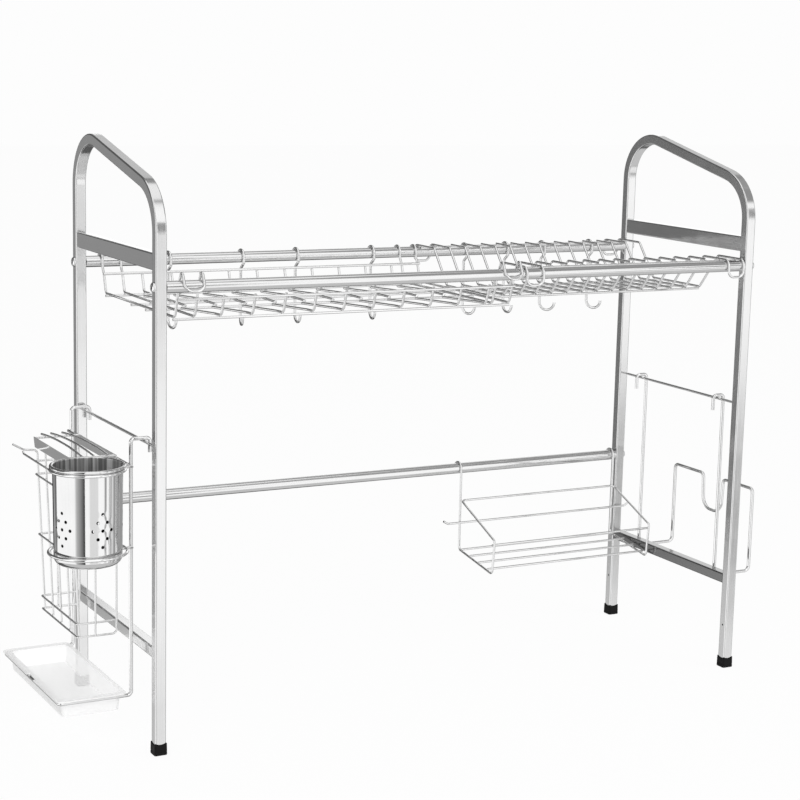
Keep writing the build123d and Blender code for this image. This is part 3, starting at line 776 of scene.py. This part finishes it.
@dataclass
class Feet:
    """Four black rubber feet that sleeve the ends of the legs.

    Each row is a side, a height and a share of the scallop, from the underside up the outside, over
    the rim and down the inside to the floor under the leg.
    """

    side: float = 18.0
    corner: float = 2.6
    scallop: float = 2.4
    rows: tuple = (
        (16.2, 0.0, 0), (17.4, 0.25, 0), (18.0, 1.0, 0), (17.95, 3.9, 0), (17.45, 4.3, 0),
        (17.45, 4.9, 0), (17.9, 5.3, 0), (17.75, 9.0, 0.3), (17.6, 13.0, 0.7), (17.4, 16.2, 1),
        (17.0, 16.85, 1), (16.4, 17.0, 1), (15.6, 16.8, 1), (15.2, 16.0, 1), (15.2, 12.0, 0.5),
        (15.2, 3.1, 0))
    places: dict = field(default_factory=lambda: {
        "front_left_foot": (0.0, 0.0), "back_left_foot": (0.0, FRAME_DEPTH),
        "front_right_foot": (FRAME_LENGTH, 0.0), "back_right_foot": (FRAME_LENGTH, FRAME_DEPTH)})

    def shape(self) -> Surface:
        """One foot round the origin.

        Each row is a rounded square of its own side and height. It drops by scallop * share *
        (1 - w), where w is the square of how far along its side a point stands, so that the rim
        rises to the corners.

        Returns:
            The foot's surface.
        """
        grid = []
        for side, height, share in self.rows:
            half = side / 2
            ring = rounded_rectangle(-half, half, -half, half, self.corner * side / self.side)
            along = np.min(np.abs(ring), axis=1) / half
            drop = self.scallop * share * (1 - along ** 2)
            grid.append(np.column_stack([ring, height - drop]))
        surface = Surface()
        numbers = surface.grid(np.array(grid))
        surface.cap(numbers[0], (0, 0, self.rows[0][1]))
        surface.cap(numbers[-1], (0, 0, self.rows[-1][1]))
        return surface

    def build(self, rubber: bpy.types.Material) -> None:
        """Put a foot in place of each plain one.

        Args:
            rubber: The feet's finish.
        """
        for node, (x, y) in self.places.items():
            foot = Surface()
            foot.copies(self.shape(), np.array([(x, y, 0.0)]))
            piece = foot.build("moulded_" + node, "frame", "foot_rubber", rubber)
            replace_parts(piece, node)


@dataclass
class Bolts:
    """Six button-head bolts with a hexagon socket, which hold the rails between the end frames."""

    head_radius: float = 6.75
    head_tall: float = 3.6
    head_edge: float = 0.5
    flat_radius: float = 3.2
    seat_round: float = 0.1
    dome_steps: int = 9
    socket_half: float = 2.0
    socket_deep: float = 2.2
    socket_rim: float = 0.15
    socket_flare: float = 0.25
    shank_radius: float = 3.0
    shank_long: float = 32.0
    steps: int = 48
    heights: tuple = ((0.0, RAIL_HEIGHT), (FRAME_DEPTH, RAIL_HEIGHT), (FRAME_DEPTH, LOW_RAIL_HEIGHT))

    def shape(self, outward: int) -> np.ndarray:
        """The bolt's rows along its axis, seated on the origin.

        The socket's radius is half / cos(a - nearest sixth of a turn), a hexagon. The head's dome
        is a quarter ellipse, radius = flat + (head - flat) * sin b and height = edge + (tall - edge)
        * cos b.

        Args:
            outward: 1 where the head points to +X, and -1 where it points to -X.

        Returns:
            Rows by points by three.
        """
        turn = np.linspace(0, 2 * math.pi, self.steps, endpoint=False)
        sixth = math.pi / 3
        hexagon = self.socket_half / np.cos((turn + sixth / 2) % sixth - sixth / 2)
        wide = self.head_radius - self.flat_radius
        dome = self.head_tall - self.head_edge
        rows = [(hexagon, self.head_tall - self.socket_deep), (hexagon, self.head_tall - self.socket_rim),
                (hexagon + self.socket_flare, self.head_tall)]
        rows += [(np.full(self.steps, self.flat_radius + wide * math.sin(b)),
                  self.head_edge + dome * math.cos(b)) for b in np.linspace(0, math.pi / 2, self.dome_steps)]
        rows += [(np.full(self.steps, radius), height) for radius, height in (
            (self.head_radius, self.seat_round), (self.head_radius - self.seat_round, 0.0),
            (self.shank_radius, 0.0), (self.shank_radius, -self.shank_long))]
        return np.array([np.stack([np.full(self.steps, height * outward), radius * np.cos(turn),
                                   radius * np.sin(turn)], axis=1) for radius, height in rows])

    def build(self, steel: bpy.types.Material, dark: bpy.types.Material) -> None:
        """Put all six in place of the plain ones, with the broached sockets as a piece of their own.

        Args:
            steel: The bolts' finish.
            dark: The sockets' finish, a dark grey that paints the shade inside them.
        """
        heads = Surface()
        sockets = Surface()
        for end, outward in ((0.0, -1), (FRAME_LENGTH, 1)):
            rows = self.shape(outward)
            for y, z in self.heights:
                seat = np.array([end + outward * TUBE_SIDE / 2, y, z])
                inner = sockets.grid(rows[:2] + seat)
                sockets.cap(inner[0], rows[0].mean(axis=0) + seat)
                numbers = heads.grid(rows[1:] + seat)
                heads.cap(numbers[-1], rows[-1].mean(axis=0) + seat)
        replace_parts(heads.build("button_head_bolts", "frame", "polished_steel", steel), "rail_bolts")
        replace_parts(sockets.build("bolt_sockets", "frame", "polished_steel", dark), "rail_bolts")


@dataclass
class WeldBead:
    """The small almost round bead in each corner where two wires are spot welded."""

    radius: float = WELD_RADIUS
    steps: int = 8
    rise: tuple = (-60.0, -25.0, 25.0, 60.0)

    def shape(self) -> Surface:
        """One bead round the origin.

        Point = radius * (cos b cos a, cos b sin a, sin b).

        Returns:
            The bead's surface.
        """
        turn = np.linspace(0, 2 * math.pi, self.steps, endpoint=False)
        rows = [np.stack([math.cos(b) * np.cos(turn), math.cos(b) * np.sin(turn),
                          np.full(self.steps, math.sin(b))], axis=1) for b in np.radians(self.rise)]
        bead = Surface()
        numbers = bead.grid(np.array(rows) * self.radius)
        bead.cap(numbers[0], (0, 0, -self.radius))
        bead.cap(numbers[-1], (0, 0, self.radius))
        return bead


def weld_spots(name: str, body: str, places: np.ndarray, steel: bpy.types.Material) -> None:
    """Set a weld bead at each of some places.

    Args:
        name: The piece's name.
        body: The body that it rides on.
        places: Middle of each weld, in millimetres.
        steel: Its finish.
    """
    surface = Surface()
    surface.copies(WeldBead().shape(), places)
    surface.build(name, body, "polished_steel", steel)


def level_row(xs: np.ndarray, y: float, z: float) -> np.ndarray:
    """Points along the length at one depth and one height, points by three."""
    return np.stack([xs, np.full_like(xs, y), np.full_like(xs, z)], axis=1)


@dataclass
class LeftRack:
    """The deep rack on the left, with bent wires across and its welds."""

    start: float = 30.0
    end: float = 525.0
    wires: int = 10
    first_share: float = 0.113
    last_share: float = 0.909
    pair_gap: float = 27.0
    wire: float = 3.5
    floor: float = 570.0
    floor_inset: float = 24.0
    rim_inset: float = 15.5
    rim_height: float = 595.0
    step: float = 16.0
    front_shift: float = 8.0
    steps: tuple = ((0.0, 0.5), (0.06, 0.4), (0.30, -1.0), (0.40, 0.0), (0.64, 0.0), (0.82, -1.1),
                    (0.90, 0.0), (1.0, 0.0))
    long_shares: tuple = (0.01, 0.39, 0.60, 0.99)

    def spots(self) -> np.ndarray:
        """Where the wires across meet the long wires, under the floor and on both rims.

        Returns:
            Places by three.
        """
        share = np.linspace(self.first_share, self.last_share, self.wires)
        across = self.start + (self.end - self.start) * share
        ends = np.array([self.start, self.start + self.pair_gap, self.end - self.pair_gap, self.end])
        stand, shift = np.array(self.steps).T
        deep = FRAME_DEPTH - 2 * self.floor_inset
        places = []
        for long_share in self.long_shares:
            offset = np.interp(long_share, stand, shift * self.step)
            xs = np.concatenate([across + offset, ends])
            places.append(level_row(xs, self.floor_inset + deep * long_share, self.floor - self.wire / 2))
        lean = math.hypot(self.rim_height - self.floor, self.floor_inset - self.rim_inset)
        out_y = (self.rim_height - self.floor) / lean * self.wire / 2
        out_z = (self.floor_inset - self.rim_inset) / lean * self.wire / 2
        for y, z, shifted in ((self.rim_inset - out_y, self.rim_height - out_z, self.front_shift),
                              (FRAME_DEPTH - self.rim_inset - out_y, self.rim_height + out_z, 0.0)):
            places.append(level_row(np.concatenate([across + shifted, ends]), y, z))
        return np.concatenate(places)

    def build(self, steel: bpy.types.Material) -> None:
        """Add the rack's welds."""
        weld_spots("left_rack_welds", "left_rack", self.spots(), steel)


@dataclass
class RightRack:
    """The toothed rack on the right and its welds."""

    start: float = 533.01
    end: float = 903.0
    wires: int = 15
    wire: float = 3.5
    floor: float = 571.0
    floor_inset: float = 94.0
    ear: float = 621.95
    rim_inset: float = 12.8
    long_shares: tuple = (0.04, 0.35, 0.65, 0.96)

    def spots(self) -> np.ndarray:
        """Where the toothed wires meet the long wires.

        Returns:
            Places by three.
        """
        xs = np.linspace(self.start, self.end, self.wires)
        deep = FRAME_DEPTH - 2 * self.floor_inset
        half = self.wire / 2
        rows = [(self.floor_inset + deep * share, self.floor - half) for share in self.long_shares]
        rows += [(y, self.ear - half) for y in (self.rim_inset, FRAME_DEPTH - self.rim_inset)]
        return np.concatenate([level_row(xs, y, z) for y, z in rows])

    def build(self, steel: bpy.types.Material) -> None:
        """Add the rack's welds."""
        weld_spots("right_rack_welds", "right_rack", self.spots(), steel)


def dress(nodes: dict, names: tuple, material: bpy.types.Material) -> None:
    """Give some CAD nodes a finish through their objects' material slots.

    Args:
        nodes: The frame's nodes by name.
        names: The nodes to dress.
        material: The finish.
    """
    for name in names:
        for slot in nodes[name].material_slots:
            slot.material = material
        LOG.info("%s: %s", name, material.name)


def main() -> None:
    """Dress the frame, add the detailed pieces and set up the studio."""
    logging.basicConfig(level=logging.INFO, format="%(message)s")
    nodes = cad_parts

    end_frame = StainlessSteel("stainless_tube_end_frame", roughness=0.15, spread=0.03,
                               line_depth_mm=0.003, slope_degrees=12.96, slope_from_mm=735.0).build()
    cross_tube = StainlessSteel("stainless_tube_cross", roughness=0.12, spread=0.04,
                                grain=Grain.ALONG_Y).build()
    # A darker copy of the tube steel: its grey base colour paints the shade that the right lower bar shows on
    # its top and its -X face.
    painted_shade_tube = StainlessSteel("stainless_tube_painted_shade", light="#9A9A9A", dark="#888888", roughness=0.13,
                               spread=0.04, line_depth_mm=0.004, grain=Grain.ALONG_Y).build()
    rail = StainlessSteel("stainless_rail_polished", roughness=0.12, spread=0.04, grain=Grain.ALONG_X,
                          line_depth_mm=0.004).build()
    wire = StainlessSteel("stainless_wire_drawn", light="#F8F8F8", dark="#E2E2E2", roughness=0.08,
                          spread=0.03, line_depth_mm=0.002).build()
    sheet = DrawnCup("stainless_sheet_deep_drawn", roughness=0.07, spread=0.03, line_depth_mm=0.002,
                     line_long_mm=120.0).build()
    # The sockets' steel is dark grey: painted shade in the hexagon recesses.
    socket = StainlessSteel("stainless_socket_painted_shade", light="#6E6E6E", dark="#303030",
                            roughness=0.4).build()
    rubber = MouldedRubber().build()
    milky = MilkyPolypropylene().build()

    dress(nodes, ("left_end_frame", "right_end_frame"), end_frame)
    dress(nodes, ("left_upper_plate", "right_upper_plate", "left_lower_bar"), cross_tube)
    # The right lower bar takes the darker steel that paints its shade.
    dress(nodes, ("right_lower_bar",), painted_shade_tube)
    dress(nodes, ("front_top_rail", "back_top_rail", "lower_back_rail"), rail)
    dress(nodes, ("cutlery_cup",), sheet)
    dress(nodes, ("drip_tray",), milky)
    dress(nodes, ("rail_end_plugs",), rubber)
    plain = [name for name in nodes if not any(word in name for word in (
        "end_frame", "upper_plate", "lower_bar", "rail", "cutlery", "drip", "foot"))]
    dress(nodes, tuple(plain), wire)

    Feet().build(rubber)
    Bolts().build(wire, socket)
    LeftRack().build(wire)
    RightRack().build(wire)

    Studio().build()
    Camera().build()


if __name__ == "__main__":
    main()
